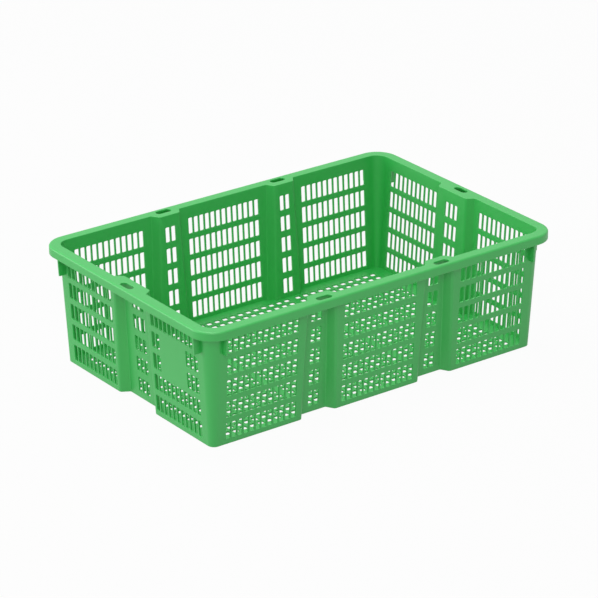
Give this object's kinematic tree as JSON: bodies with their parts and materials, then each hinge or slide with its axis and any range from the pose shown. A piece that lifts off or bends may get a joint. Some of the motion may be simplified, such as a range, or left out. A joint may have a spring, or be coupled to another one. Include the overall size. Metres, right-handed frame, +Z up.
{
  "type": "vegetable_basket",
  "caption": "Open-top green plastic vegetable basket with slotted leaning walls, recessed bays, a perforated floor and a flat rim with a turned-down skirt.",
  "frame": {"origin": "on the ground plane, under the middle of the floor", "axes": "+X along the long side, +Y towards the back long wall, +Z up out of the open top"},
  "size_m": [0.5, 0.334, 0.148],
  "materials": {
    "green_polypropylene": "satin moulded polypropylene, mid green, one colour throughout"
  },
  "bodies": {
    "root": {"back_bay_left": "green_polypropylene", "back_bay_right": "green_polypropylene", "back_left_post": "green_polypropylene", "back_left_rim_corner": "green_polypropylene", "back_panel_left": "green_polypropylene", "back_panel_middle": "green_polypropylene", "back_panel_right": "green_polypropylene", "back_rail": "green_polypropylene", "back_rib_left": "green_polypropylene", "back_rib_right": "green_polypropylene", "back_right_post": "green_polypropylene", "back_right_rim_corner": "green_polypropylene", "floor": "green_polypropylene", "front_bay_left": "green_polypropylene", "front_bay_right": "green_polypropylene", "front_left_post": "green_polypropylene", "front_left_rim_corner": "green_polypropylene", "front_panel_left": "green_polypropylene", "front_panel_middle": "green_polypropylene", "front_panel_right": "green_polypropylene", "front_rail": "green_polypropylene", "front_rib_left": "green_polypropylene", "front_rib_right": "green_polypropylene", "front_right_post": "green_polypropylene", "front_right_rim_corner": "green_polypropylene", "label_plate": "green_polypropylene", "left_bay": "green_polypropylene", "left_panel_back": "green_polypropylene", "left_panel_front": "green_polypropylene", "left_rail": "green_polypropylene", "left_rib_back": "green_polypropylene", "left_rib_front": "green_polypropylene", "right_bay": "green_polypropylene", "right_panel_back": "green_polypropylene", "right_panel_front": "green_polypropylene", "right_rail": "green_polypropylene", "right_rib_back": "green_polypropylene", "right_rib_front": "green_polypropylene"}
  },
  "joints": []
}
